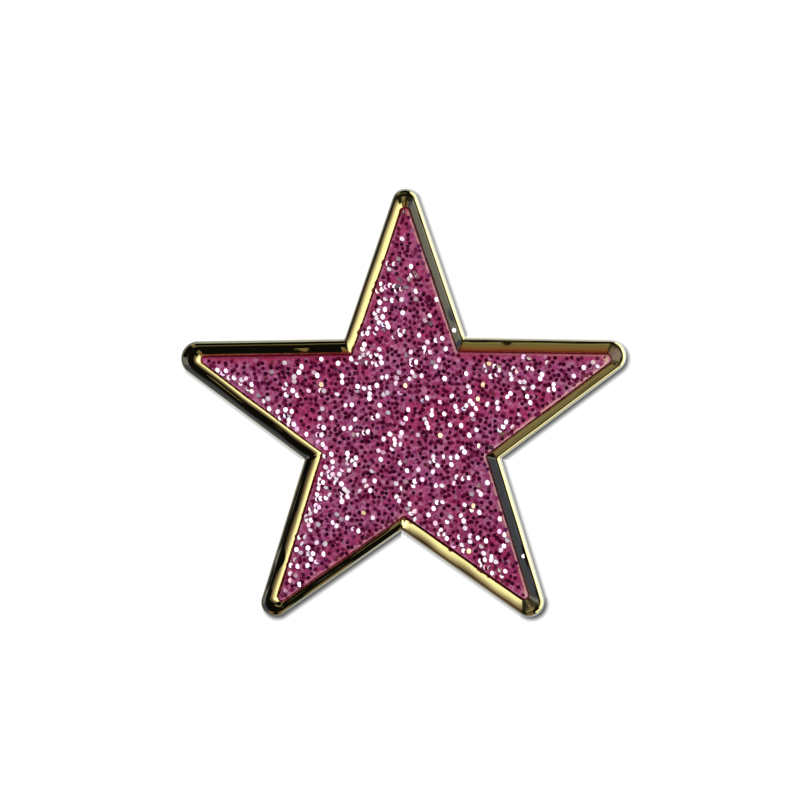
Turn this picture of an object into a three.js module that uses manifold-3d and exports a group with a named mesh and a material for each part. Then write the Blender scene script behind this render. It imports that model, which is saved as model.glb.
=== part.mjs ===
// A five-pointed star lapel pin: a gold-plated star tray filled with pink glitter resin, a nail
// post soldered to its back, and a butterfly clutch that grips the post behind the cloth.
//
// Millimetres, +Z up. The origin is the middle of the tray's back face, where the post leaves it.
// The star faces -Y with one arm straight up, and the post and the clutch are on +Y.

import * as THREE from "three";
import { mergeVertices } from "three/addons/utils/BufferGeometryUtils.js";
import Module from "manifold-3d";

const wasm = await Module();
wasm.setup();

const DEG = Math.PI / 180;
const HAIRLINE = 0.01; // gap between solids that touch, thinner than the plating
const ARC_STEPS = 3; // half the steps along each rounded stretch of an outline
const ROUND_SIDES = 40; // sides of the turned and stamped pieces

// ---- Star tray ----
const ARMS = 5;
const STAR_WIDTH = 25; // over the rounded tips of the two side arms
const TIP_ROUND = 0.034 * STAR_WIDTH; // outer radius of each tip
const VALLEY_SHARE = 0.3957; // valley reach over the reach of the arms if their tips were sharp
const VALLEY_ROUND = 0.12; // outer radius of each valley
const TRAY_THICK = 1.6; // back face to rim crest
const RIM_WIDTH = 0.8; // outer edge to resin
const CREST_INSET = 0.33; // outer edge to rim crest
const WALL_TOP = 1.22; // height where the side wall starts to round over
const WALL_LEAN = 0.05; // draft of the side wall
const BACK_ROUND = 0.12; // softened edge round the back face
const RIM_DROP = 0.3; // how far the rim falls from its crest to the resin
const POCKET_FLOOR = 1.0; // thickness of metal under the resin

const STEP_ANGLE = Math.PI / ARMS; // from a tip to the next valley
const TIP_HALF_ANGLE = Math.atan2(
  VALLEY_SHARE * Math.sin(STEP_ANGLE),
  1 - VALLEY_SHARE * Math.cos(STEP_ANGLE),
);
const TIP_CENTRE = (STAR_WIDTH / 2 - TIP_ROUND) / Math.cos(Math.PI / 2 - 2 * STEP_ANGLE);
const SHARP_REACH = TIP_CENTRE + TIP_ROUND / Math.sin(TIP_HALF_ANGLE);
const EDGE_DISTANCE = SHARP_REACH * Math.sin(TIP_HALF_ANGLE); // origin to each straight edge

// ---- Resin ----
const RESIN_TOP = 1.25; // height of its flat middle
const MENISCUS_RISE = 0.04; // how far it climbs the rim
const MENISCUS_WIDTH = 0.3;

// ---- Post ----
const POST_R = 0.575;
const POST_LENGTH = 8; // from the back face to the point
const PAD_R = 1.6;
const PAD_THICK = 0.35;
const GROOVE_R = 0.43; // the waist that the jaws snap into
const GROOVE_Y = 6.35;
const GROOVE_WIDTH = 0.4;
const GROOVE_FLANK = 0.15;
const POINT_LENGTH = 1.05;
const POINT_R = 0.1;
const SOLDER_R = 2.15;
const SOLDER_HEIGHT = 0.3;

// ---- Butterfly clutch, in its own heights above the disc's front face ----
const CLOTH = 2.1; // thickness of cloth that the clutch is set for
const SHEET = 0.3; // sheet brass
const DISC_R = 5.7;
const DISC_HOLE_R = 0.65;
const FUNNEL_R = 2.0;
const FUNNEL_RISE = 0.42;
const HEM_R = 0.51; // outer radius of the rolled hem
const LIP_R = 4.7; // inner edge of the hem
const DIMPLES = 4;
const DIMPLE_CIRCLE_R = 3.6;
const DIMPLE_R = 0.56;
const DIMPLE_RISE = 0.25;
const DISC_Y = CLOTH + DIMPLE_RISE; // the disc's front face, from the star's back

const CAP_FLANGE_R = 5.25;
const CAP_FLANGE_BASE = 0.36;
const CAP_WALL_R = 3.05;
const CAP_TOP = 2.9;
const CAP_HOLE_R = 0.66;
const CAP_COLLAR_R = 1.55;
const CAP_COLLAR_RISE = 0.35;
const CAP_FILLET = 0.35;
const WINDOW_BASE = 1.35;
const WINDOW_TOP = 2.45;
const WINDOW_WIDTH = 3.4;

const SPRING_THICK = 0.26; // sprung sheet of the wings
const JAW_WIDTH = 2.6;
const JAW_REACH = 2.35; // how far out the narrow part of the wing goes, past the cap's inner wall
const JAW_NOTCH_R = 0.62;
const EAR_WIDTH = 5.4;
const EAR_WAIST = 2.9;
const EAR_FLARE_Y = 3.7; // where the ear reaches its full width
const EAR_TOP = 5.6;
const EAR_ROUND = 1.7;
const CUTTER = 10; // size of a cutting block, larger than the clutch is tall

const GOLD = { color: 0xe6c25a, metalness: 1, roughness: 0.12 };
const gold = new THREE.MeshStandardMaterial(GOLD);
const brass = new THREE.MeshStandardMaterial({ color: 0xd9b45a, metalness: 1, roughness: 0.25 });
const solderGrey = new THREE.MeshStandardMaterial({ color: 0xb9a878, metalness: 1, roughness: 0.4 });
const pinkResin = new THREE.MeshStandardMaterial({ color: 0x9e3f6b, metalness: 0, roughness: 0.15 });

// The geometry as a closed solid, for a cut or a join.
function solid(geometry) {
  const bare = geometry.clone();
  bare.deleteAttribute("normal");
  bare.deleteAttribute("uv");
  const merged = mergeVertices(bare, 1e-4);
  return new wasm.Manifold(
    new wasm.Mesh({
      numProp: 3,
      vertProperties: merged.attributes.position.array,
      triVerts: new Uint32Array(merged.index.array),
    }),
  );
}

function geometryOf(manifold) {
  const { vertProperties, triVerts } = manifold.getMesh();
  return new THREE.BufferGeometry()
    .setAttribute("position", new THREE.BufferAttribute(vertProperties, 3))
    .setIndex(new THREE.BufferAttribute(triVerts, 1));
}

// The star's outline, moved in from the outer edge by inset: five tip arcs about fixed centres,
// and five valley arcs that open out a little as the outline moves in.
function starOutline(inset) {
  const tipArc = Math.PI / 2 - TIP_HALF_ANGLE;
  const valleyHalf = STEP_ANGLE + TIP_HALF_ANGLE;
  const valleyArc = Math.PI / 2 - valleyHalf;
  const valleyRound = VALLEY_ROUND + 0.25 * inset;
  const valleyReach = (VALLEY_SHARE * SHARP_REACH * (EDGE_DISTANCE - inset)) / EDGE_DISTANCE;
  const valleyCentre = valleyReach + valleyRound / Math.sin(valleyHalf);
  const star = new THREE.Shape();
  for (let arm = 0; arm < ARMS; arm++) {
    const tip = Math.PI / 2 + 2 * arm * STEP_ANGLE;
    const valley = tip + STEP_ANGLE;
    star.absarc(
      TIP_CENTRE * Math.cos(tip),
      TIP_CENTRE * Math.sin(tip),
      TIP_ROUND - inset,
      tip - tipArc,
      tip + tipArc,
      false,
    );
    star.absarc(
      valleyCentre * Math.cos(valley),
      valleyCentre * Math.sin(valley),
      valleyRound,
      valley + Math.PI + valleyArc,
      valley + Math.PI - valleyArc,
      true,
    );
  }
  const points = star.getPoints(ARC_STEPS);
  if (points[0].distanceTo(points.at(-1)) < 1e-6) points.pop();
  return points;
}

// A closed skin over star outlines, each given as [inset, height above the back face].
function starLoft(profile) {
  const rings = profile.map(([inset]) => starOutline(inset));
  const count = rings[0].length;
  const positions = rings.flatMap((ring, row) => ring.flatMap((p) => [p.x, -profile[row][1], p.y]));
  const index = [];
  for (let row = 0; row + 1 < rings.length; row++) {
    for (let i = 0; i < count; i++) {
      const a = row * count + i;
      const b = row * count + ((i + 1) % count);
      index.push(a, b, a + count, b, b + count, a + count);
    }
  }
  const last = (rings.length - 1) * count;
  for (const [a, b, c] of THREE.ShapeUtils.triangulateShape(rings[0], [])) {
    index.push(a, c, b);
  }
  for (const [a, b, c] of THREE.ShapeUtils.triangulateShape(rings.at(-1), [])) {
    index.push(last + a, last + b, last + c);
  }
  return new THREE.BufferGeometry()
    .setAttribute("position", new THREE.Float32BufferAttribute(positions, 3))
    .setIndex(index);
}

// Points over a quarter turn of an ellipse, from its side to its top.
function quarter(steps, place) {
  return Array.from({ length: steps + 1 }, (_, i) => place((i / steps) * 90 * DEG));
}

function starTray() {
  const shoulder = quarter(5, (a) => [
    CREST_INSET - (CREST_INSET - WALL_LEAN) * Math.cos(a),
    WALL_TOP + (TRAY_THICK - WALL_TOP) * Math.sin(a),
  ]);
  const slopeWidth = RIM_WIDTH - CREST_INSET;
  const slope = [0.35, 0.6, 0.8, 1].map((t) => [
    CREST_INSET + slopeWidth * t,
    TRAY_THICK - RIM_DROP * t * t,
  ]);
  return starLoft([
    [BACK_ROUND, 0],
    [0.3 * BACK_ROUND, 0.3 * BACK_ROUND],
    [0, BACK_ROUND],
    ...shoulder,
    ...slope,
    [RIM_WIDTH, POCKET_FLOOR],
  ]);
}

function resinFill() {
  const edge = RIM_WIDTH + HAIRLINE;
  // The tips of the outline stop a hair short of coming to nothing as the outline moves in.
  const room = TIP_ROUND - edge - HAIRLINE;
  return starLoft([
    [edge, POCKET_FLOOR + HAIRLINE],
    [edge, RESIN_TOP + MENISCUS_RISE],
    [edge + room, RESIN_TOP + 0.4 * MENISCUS_RISE],
  ]);
}

function pinPost() {
  const grooveEnd = GROOVE_Y + GROOVE_WIDTH;
  const pointStart = POST_LENGTH - POINT_LENGTH;
  const padRound = 0.12;
  const fillet = 0.2;
  return new THREE.LatheGeometry(
    [
      [0, HAIRLINE],
      [PAD_R, HAIRLINE],
      [PAD_R, PAD_THICK - padRound],
      [PAD_R - 0.3 * padRound, PAD_THICK - 0.3 * padRound],
      [PAD_R - padRound, PAD_THICK],
      [POST_R + fillet, PAD_THICK],
      [POST_R + 0.3 * fillet, PAD_THICK + 0.3 * fillet],
      [POST_R, PAD_THICK + fillet],
      [POST_R, GROOVE_Y - GROOVE_FLANK],
      [GROOVE_R, GROOVE_Y],
      [GROOVE_R, grooveEnd],
      [POST_R, grooveEnd + GROOVE_FLANK],
      [POST_R, pointStart],
      [0.5 * POST_R, POST_LENGTH - 0.35 * POINT_LENGTH],
      [POINT_R, POST_LENGTH - 0.3 * POINT_R],
      [0, POST_LENGTH],
    ].map(([r, y]) => new THREE.Vector2(r, y)),
    24,
  );
}

// The solder that wets the pad's edge and feathers out on the tray's back.
function solderFillet() {
  const inner = PAD_R + HAIRLINE;
  const curve = new THREE.QuadraticBezierCurve(
    new THREE.Vector2(SOLDER_R, 2 * HAIRLINE),
    new THREE.Vector2(inner + 0.25 * (SOLDER_R - inner), 0.2 * SOLDER_HEIGHT),
    new THREE.Vector2(inner, SOLDER_HEIGHT),
  );
  const foot = [new THREE.Vector2(inner, HAIRLINE), new THREE.Vector2(SOLDER_R, HAIRLINE)];
  return new THREE.LatheGeometry([...foot, ...curve.getPoints(4), foot[0].clone()], ROUND_SIDES);
}

// The disc's rim is rolled right over, so that it holds the cap's flange.
function clutchDisc() {
  const bend = DISC_R - HEM_R;
  const outline = new THREE.Path();
  outline.moveTo(DISC_HOLE_R, FUNNEL_RISE);
  outline.lineTo(FUNNEL_R, 0);
  outline.lineTo(bend, 0);
  outline.absarc(bend, HEM_R, HEM_R, -90 * DEG, 90 * DEG, false);
  outline.lineTo(LIP_R + 0.5 * SHEET, 2 * HEM_R);
  outline.absarc(LIP_R + 0.5 * SHEET, 2 * HEM_R - 0.5 * SHEET, 0.5 * SHEET, 90 * DEG, 270 * DEG, false);
  outline.lineTo(bend, 2 * HEM_R - SHEET);
  outline.absarc(bend, HEM_R, HEM_R - SHEET, 90 * DEG, -90 * DEG, true);
  outline.lineTo(FUNNEL_R + 0.4 * SHEET, SHEET);
  outline.lineTo(DISC_HOLE_R, FUNNEL_RISE + SHEET);
  outline.lineTo(DISC_HOLE_R, FUNNEL_RISE);
  let disc = solid(new THREE.LatheGeometry(outline.getPoints(ARC_STEPS), ROUND_SIDES));
  for (let i = 0; i < DIMPLES; i++) {
    const angle = ((i + 0.5) * 360 * DEG) / DIMPLES;
    const dimple = new THREE.LatheGeometry(
      [
        ...quarter(3, (a) => new THREE.Vector2(DIMPLE_R * Math.sin(a), -DIMPLE_RISE * Math.cos(a))),
        new THREE.Vector2(DIMPLE_R, 0.5 * SHEET),
        new THREE.Vector2(0, 0.5 * SHEET),
      ],
      12,
    );
    dimple.translate(DIMPLE_CIRCLE_R * Math.cos(angle), 0, DIMPLE_CIRCLE_R * Math.sin(angle));
    disc = disc.add(solid(dimple));
  }
  return geometryOf(disc);
}

// A hat-shaped pressing whose flange turns inside the disc's hem. The wings come out of two windows.
function clutchCap() {
  const inner = CAP_WALL_R - SHEET;
  const outline = new THREE.Path();
  outline.moveTo(inner, CAP_FLANGE_BASE);
  outline.lineTo(CAP_FLANGE_R, CAP_FLANGE_BASE);
  outline.lineTo(CAP_FLANGE_R, CAP_FLANGE_BASE + SHEET);
  outline.lineTo(CAP_WALL_R + 0.2, CAP_FLANGE_BASE + SHEET);
  outline.lineTo(CAP_WALL_R, CAP_FLANGE_BASE + SHEET + 0.2);
  outline.lineTo(CAP_WALL_R, CAP_TOP - CAP_FILLET);
  outline.absarc(CAP_WALL_R - CAP_FILLET, CAP_TOP - CAP_FILLET, CAP_FILLET, 0, 90 * DEG, false);
  outline.lineTo(CAP_COLLAR_R, CAP_TOP);
  outline.lineTo(CAP_HOLE_R, CAP_TOP + CAP_COLLAR_RISE);
  outline.lineTo(CAP_HOLE_R, CAP_TOP + CAP_COLLAR_RISE - SHEET);
  outline.lineTo(CAP_COLLAR_R - 0.1, CAP_TOP - SHEET);
  outline.lineTo(inner, CAP_TOP - SHEET);
  outline.lineTo(inner, CAP_FLANGE_BASE);
  const hat = solid(new THREE.LatheGeometry(outline.getPoints(ARC_STEPS), ROUND_SIDES));
  const windows = new THREE.BoxGeometry(4 * CAP_WALL_R, WINDOW_TOP - WINDOW_BASE, WINDOW_WIDTH);
  windows.translate(0, (WINDOW_TOP + WINDOW_BASE) / 2, 0);
  return geometryOf(hat.subtract(solid(windows)));
}

// A strip bent along a middle line in the X-Y plane, as wide as width along Z.
function bentStrip(middle, thick, width) {
  const side = (sign) =>
    middle.map((p, i) => {
      const before = middle[Math.max(i - 1, 0)];
      const after = middle[Math.min(i + 1, middle.length - 1)];
      const along = after.clone().sub(before).normalize();
      return new THREE.Vector2(p.x - (sign * along.y * thick) / 2, p.y + (sign * along.x * thick) / 2);
    });
  const outline = new THREE.Shape([...side(-1), ...side(1).reverse()]);
  const strip = new THREE.ExtrudeGeometry(outline, { depth: width, bevelEnabled: false });
  return strip.translate(0, 0, -width / 2);
}

// A wing's outline seen from the side: narrow through the window, broad and round at the top.
function wingOutline() {
  const waist = EAR_WAIST / 2;
  const broad = EAR_WIDTH / 2;
  const roundY = EAR_TOP - EAR_ROUND;
  const flareStart = [waist, WINDOW_TOP - 0.1];
  const flareBend = [waist + 0.1, 0.5 * (flareStart[1] + EAR_FLARE_Y)];
  const outline = new THREE.Shape();
  outline.moveTo(waist, 0);
  outline.lineTo(...flareStart);
  outline.quadraticCurveTo(...flareBend, broad, EAR_FLARE_Y);
  outline.lineTo(broad, roundY);
  outline.absarc(broad - EAR_ROUND, roundY, EAR_ROUND, 0, 90 * DEG, false);
  outline.absarc(EAR_ROUND - broad, roundY, EAR_ROUND, 90 * DEG, 180 * DEG, false);
  outline.lineTo(-broad, EAR_FLARE_Y);
  outline.quadraticCurveTo(-flareBend[0], flareBend[1], -flareStart[0], flareStart[1]);
  outline.lineTo(-waist, 0);
  return outline;
}

// One wing: a notched jaw inside the cap and a finger ear outside it. side is 1 on +X, -1 on -X.
function clutchWing(side) {
  const middle = new THREE.SplineCurve([
    new THREE.Vector2(0.3, 1.77),
    new THREE.Vector2(1.85, 1.53),
    new THREE.Vector2(2.9, 1.93),
    new THREE.Vector2(3.55, 2.6),
    new THREE.Vector2(4.05, 3.8),
    new THREE.Vector2(4.5, 4.75),
    new THREE.Vector2(5.15, 5.35),
  ]);
  const strip = bentStrip(middle.getPoints(20), SPRING_THICK, EAR_WIDTH + 1);
  const outline = new THREE.ExtrudeGeometry(wingOutline(), { depth: CUTTER, bevelEnabled: false });
  outline.rotateY(90 * DEG);
  const besideJaw = new THREE.BoxGeometry(2 * JAW_REACH, CUTTER, CUTTER);
  const jaw = new THREE.BoxGeometry(CUTTER, CUTTER, JAW_WIDTH);
  const notch = new THREE.CylinderGeometry(JAW_NOTCH_R, JAW_NOTCH_R, CUTTER, 24);
  const wing = solid(strip)
    .intersect(solid(outline))
    .subtract(solid(besideJaw).subtract(solid(jaw)))
    .subtract(solid(notch));
  const geometry = geometryOf(wing);
  return side > 0 ? geometry : geometry.rotateY(180 * DEG);
}

const pin = new THREE.Group();

function place(name, geometry, material, y = 0) {
  const mesh = new THREE.Mesh(geometry, material);
  mesh.name = name;
  mesh.position.y = y;
  pin.add(mesh);
}

place("star_base", starTray(), gold);
place("enamel_fill", resinFill(), pinkResin);
place("pin_post", pinPost(), brass);
place("post_solder", solderFillet(), solderGrey);
place("clutch_disc", clutchDisc(), brass, DISC_Y);
place("clutch_cap", clutchCap(), brass, DISC_Y);
place("clutch_wing_left", clutchWing(-1), brass, DISC_Y);
place("clutch_wing_right", clutchWing(1), brass, DISC_Y);

export default pin;
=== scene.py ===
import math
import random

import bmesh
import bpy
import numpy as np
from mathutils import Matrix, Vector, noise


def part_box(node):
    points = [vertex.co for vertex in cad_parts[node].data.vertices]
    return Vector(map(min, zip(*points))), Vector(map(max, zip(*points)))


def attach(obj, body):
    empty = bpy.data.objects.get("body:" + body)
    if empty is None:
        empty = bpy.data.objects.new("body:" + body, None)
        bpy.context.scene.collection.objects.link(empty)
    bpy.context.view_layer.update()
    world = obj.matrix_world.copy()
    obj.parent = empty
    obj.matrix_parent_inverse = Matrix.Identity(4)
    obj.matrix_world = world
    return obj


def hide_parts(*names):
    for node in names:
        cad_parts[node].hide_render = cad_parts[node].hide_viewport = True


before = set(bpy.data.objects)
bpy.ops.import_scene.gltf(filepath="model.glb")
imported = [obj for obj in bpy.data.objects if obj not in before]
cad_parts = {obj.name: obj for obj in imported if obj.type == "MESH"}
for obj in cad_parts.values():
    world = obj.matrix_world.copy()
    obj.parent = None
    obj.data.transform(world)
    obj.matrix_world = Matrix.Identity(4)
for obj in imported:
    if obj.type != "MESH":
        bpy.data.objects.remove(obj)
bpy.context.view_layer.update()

# The looks of a five-pointed star lapel pin: a polished gold-plated tray, pink resin full of
# hexagonal glitter flakes, a turned post, and a stamped butterfly clutch with two sprung wings.
#
# Shapes are worked out in millimetres in the part's own frame and turned into metres as each mesh is
# made. The star faces -Y, +Z is up through its top arm, and the post and clutch are on +Y. A
# height is a distance in front of the tray's back face.

MM = 0.001
rng = random.Random(5)


def size(node):
    """A CAD node's lowest and highest corners in millimetres."""
    low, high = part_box(node)
    return np.array(low) / MM, np.array(high) / MM


# ---- Sizes, in millimetres ----

TRAY_LOW, _ = size("star_base")
POST_LOW, POST_HIGH = size("pin_post")
SOLDER_LOW, SOLDER_HIGH = size("post_solder")
DISC_LOW, DISC_HIGH = size("clutch_disc")
_, CAP_HIGH = size("clutch_cap")
WING_LOW, WING_HIGH = size("clutch_wing_right")

ARMS = 5
STEP_ANGLE = math.pi / ARMS  # from a tip to the next valley
STAR_WIDTH = 25.0
TIP_ROUND = 0.034 * STAR_WIDTH
VALLEY_SHARE = 0.3957  # valley reach over the reach of the arms if their tips were sharp
TIP_HALF = math.atan2(
    VALLEY_SHARE * math.sin(STEP_ANGLE), 1 - VALLEY_SHARE * math.cos(STEP_ANGLE)
)
# From the star's centre to the middle of each tip's arc
TIP_CENTRE = (STAR_WIDTH / 2 - TIP_ROUND) / math.cos(math.pi / 2 - 2 * STEP_ANGLE)
EDGE_DISTANCE = TIP_CENTRE * math.sin(TIP_HALF) + TIP_ROUND  # centre to each straight edge

# The ten straight edges, anticlockwise from the left side of the top arm. A struck and hand-polished
# star isn't quite true: for each edge, how its rim is polished, and how far its outline and the foot
# of its rim stand out from a true star's.
EDGES = (
    ("keen", -0.05, 0.00),
    ("hollow", 0.02, -0.11),
    ("flat", 0.11, -0.05),
    ("eased", 0.00, -0.12),
    ("deep", -0.12, 0.04),
    ("steep", 0.14, 0.10),
    ("broad", -0.27, -0.28),
    ("broad", -0.12, 0.00),
    ("keen", 0.09, 0.05),
    ("broad", -0.06, 0.00),
)
# How much blunter than a true star's each arm's tip is, at its outline and at the foot of its rim:
# top, left, lower left, lower right, right.
BLUNTER = ((-0.095, 0.08), (0.12, 0.03), (-0.05, 0.06), (0.02, 0.09), (0.08, 0.14))
# How far the polishing wheel missed the inside of each tip's rim, in the same order.
UNPOLISHED = (0.1, 0.0, 0.0, 0.2, 1.0)

CREST = -TRAY_LOW[1]
WALL_TOP = CREST - 0.38
RIM_WIDTH = 0.8
FOOT_WIDTH = 0.05
WALL_LEAN = 0.05
BACK_ROUND = 0.12
POCKET_FLOOR = 1.0

RESIN_HEIGHT = 1.25
MENISCUS_RISE = 0.10
MENISCUS_REACH = 0.09

FLAKE_ACROSS = 0.205  # over the flats
FLAKE_THICK = 0.012
LEAN_TURN = math.radians(16)  # the way that most of the leaning flakes lean, from +X towards +Z
LEAN_SPREAD = math.radians(30)
STEEPEST_LEAN = 0.92  # rise over run


# ---- Shader maths ----


class Socket:
    """An output of a node. Arithmetic on it adds Math nodes."""

    def __init__(self, paint, output):
        self.paint = paint
        self.output = output

    def math(self, operation, *others):
        values = dict(enumerate((self, *others)))
        return self.paint.node("ShaderNodeMath", {"operation": operation}, values)

    def __add__(self, other):
        return self.math("ADD", other)

    def __sub__(self, other):
        return self.math("SUBTRACT", other)

    def __rsub__(self, other):
        return self.paint.node("ShaderNodeMath", {"operation": "SUBTRACT"}, {0: other, 1: self})

    def __mul__(self, other):
        return self.math("MULTIPLY", other)

    __radd__ = __add__
    __rmul__ = __mul__


class Paint:
    """A material under construction."""

    def __init__(self, name):
        self.material = bpy.data.materials.new(name)
        self.material.use_nodes = True
        self.tree = self.material.node_tree
        self.tree.nodes.clear()

    def node(self, kind, settings=None, inputs=None, output=0):
        """Adds a node with its settings, then the values or links of its sockets."""
        made = self.tree.nodes.new(kind)
        for key, value in (settings or {}).items():
            setattr(made, key, value)
        for key, value in (inputs or {}).items():
            if isinstance(value, Socket):
                self.tree.links.new(value.output, made.inputs[key])
            else:
                made.inputs[key].default_value = value
        return Socket(self, made.outputs[output]) if made.outputs else None

    def place(self):
        return self.node("ShaderNodeTexCoord", output="Object")

    def attribute(self, name, output="Fac"):
        return self.node("ShaderNodeAttribute", {"attribute_name": name}, output=output)

    def noise(self, scale, detail, stretch=(1, 1, 1)):
        """Noise whose blotches are about 1 / scale metres across."""
        where = self.node(
            "ShaderNodeVectorMath", {"operation": "MULTIPLY"}, {0: self.place(), 1: stretch}
        )
        inputs = {"Vector": where, "Scale": scale, "Detail": detail}
        return self.node("ShaderNodeTexNoise", {}, inputs, "Fac")

    def ramp(self, value, low, high):
        """0 where value is below low, rising smoothly to 1 above high."""
        settings = {"interpolation_type": "SMOOTHSTEP"}
        inputs = {"Value": value, "From Min": low, "From Max": high}
        return self.node("ShaderNodeMapRange", settings, inputs)

    def mix(self, factor, a, b):
        """Colour a where factor is 0, and b where it is 1."""
        inputs = {"Factor": factor, 6: colour(a), 7: colour(b)}
        return self.node("ShaderNodeMix", {"data_type": "RGBA"}, inputs, 2)

    def bump(self, height, depth, normal=None):
        """A normal for a surface whose bumps are depth metres high where height goes 0 to 1."""
        inputs = {"Height": height, "Distance": depth, "Strength": 1.0}
        if normal:
            inputs["Normal"] = normal
        return self.node("ShaderNodeBump", {}, inputs)

    def principled(self, inputs):
        return self.node("ShaderNodeBsdfPrincipled", {}, inputs)

    def finish(self, shader):
        self.node("ShaderNodeOutputMaterial", {}, {"Surface": shader})
        return self.material


def colour(value):
    return value if isinstance(value, Socket) else (*value, 1)


# ---- Materials ----


def gold_plate():
    """Mirror-bright plating on the face and side, satin on the back, and rough with a painted dark red
    shade in the rim's foot.

    foot says how far into the rim's foot a point is, for its roughness and its painted shade, and satin
    how far the polishing missed it.
    """
    paint = Paint("gold plate")
    depth = paint.node("ShaderNodeSeparateXYZ", {}, {0: paint.place()}, "Y")
    back = paint.ramp(depth, -0.06 * MM, -0.01 * MM)
    blotch = paint.noise(350, 3)
    fine = paint.noise(9000, 2)
    foot = paint.attribute("foot")
    tint = paint.mix(blotch, (0.915, 0.75, 0.31), (0.97, 0.82, 0.37))
    satin = paint.attribute("satin") * paint.ramp(fine, 0.30, 0.50)
    tint = paint.mix(satin * 0.7, tint, (0.82, 0.50, 0.36))
    # Painted shade: the rim's foot darkens to dark red where the rim meets the resin.
    tint = paint.mix(foot * 0.85, tint, (0.25, 0.06, 0.02))
    roughness = 0.035 + 0.05 * paint.ramp(blotch, 0.45, 0.75) + 0.25 * back + 0.15 * foot + 0.4 * satin
    waves = paint.bump(paint.noise(500, 0) * (1 - back), 0.11 * MM)
    grain = paint.bump(fine * back, 0.004 * MM, waves)
    return paint.finish(
        paint.principled(
            {
                "Base Color": tint,
                "Metallic": 1 - 0.3 * satin,
                "Roughness": roughness,
                "Normal": grain,
            }
        )
    )


def resin_colour(paint):
    """Mauve and crimson clouds, with the dim cells of flakes that lie deep in the resin."""
    cloud = paint.noise(420, 3)
    cells = {"Vector": paint.place(), "Scale": 1 / (0.235 * MM), "Randomness": 0.75}
    settings = {"voronoi_dimensions": "3D", "feature": "F1"}
    shade = paint.node("ShaderNodeTexVoronoi", settings, cells, "Color")
    grey = paint.node("ShaderNodeSeparateColor", {}, {0: shade}, 0)
    base = paint.mix(paint.ramp(cloud, 0.40, 0.62), (0.39, 0.07, 0.20), (0.45, 0.03, 0.13))
    dark = paint.mix(0.55, base, (0.16, 0.006, 0.05))
    light = paint.mix(0.35, base, (0.75, 0.32, 0.52))
    deep = paint.mix(paint.ramp(grey, 0.15, 0.5), dark, base)
    packed = paint.mix(paint.ramp(grey, 0.72, 0.95), deep, light)
    cells["Scale"] = 1 / (0.27 * MM)
    settings = {"voronoi_dimensions": "3D", "feature": "DISTANCE_TO_EDGE"}
    edge = paint.node("ShaderNodeTexVoronoi", settings, cells, "Distance")
    seam = (1 - paint.ramp(edge, 0.04, 0.16)) * (0.45 - 0.25 * paint.ramp(cloud, 0.45, 0.6))
    return paint.mix(seam, packed, (0.70, 0.25, 0.46))


def pink_resin():
    """Resin with a painted pale highlight where it climbs the rims facing the window, and painted
    crimson shade in the lee of the upper rims.
    """
    paint = Paint("pink resin")
    rim = paint.attribute("rim")
    shaded = paint.mix(0.75 * paint.attribute("lee"), resin_colour(paint), (0.44, 0.025, 0.09))
    tint = paint.mix(rim, shaded, (0.92, 0.50, 0.42))
    ripple = paint.bump(paint.noise(2600, 2), 0.006 * MM)
    return paint.finish(
        paint.principled(
            {
                "Base Color": tint,
                "Roughness": 0.22 + 0.12 * paint.noise(900, 2),
                "Normal": ripple,
                "Coat Weight": 0.4,
                "Coat Roughness": 0.04,
            }
        )
    )


def glitter():
    """Metallised film. veil says how much pink resin lies over each flake."""
    paint = Paint("glitter")
    film = paint.principled(
        {
            "Base Color": paint.attribute("tint", "Color"),
            "Metallic": 1.0,
            "Roughness": 0.12 + 0.1 * paint.noise(12000, 1),
        }
    )
    cover = paint.principled(
        {
            "Base Color": paint.attribute("veil_tint", "Color"),
            "Roughness": 0.5,
            "Specular IOR Level": 0.1,
        }
    )
    veil = paint.attribute("veil")
    return paint.finish(paint.node("ShaderNodeMixShader", {}, {0: veil, 1: film, 2: cover}))


def satin_metal(name, base, worn, rough, grain_scale, stretch, grain_depth=0.0012):
    """Brass or solder, blotched from base to worn, with a grain stretched along or round the piece."""
    paint = Paint(name)
    blotch = paint.noise(500, 4)
    grain = paint.noise(grain_scale, 3, stretch)
    tint = paint.mix(paint.ramp(blotch, 0.35, 0.7), base, worn)
    roughness = rough + 0.14 * grain + 0.08 * blotch
    normal = paint.bump(grain, grain_depth * MM, paint.bump(blotch, 0.006 * MM))
    return paint.finish(
        paint.principled(
            {"Base Color": tint, "Metallic": 1.0, "Roughness": roughness, "Normal": normal}
        )
    )


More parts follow.
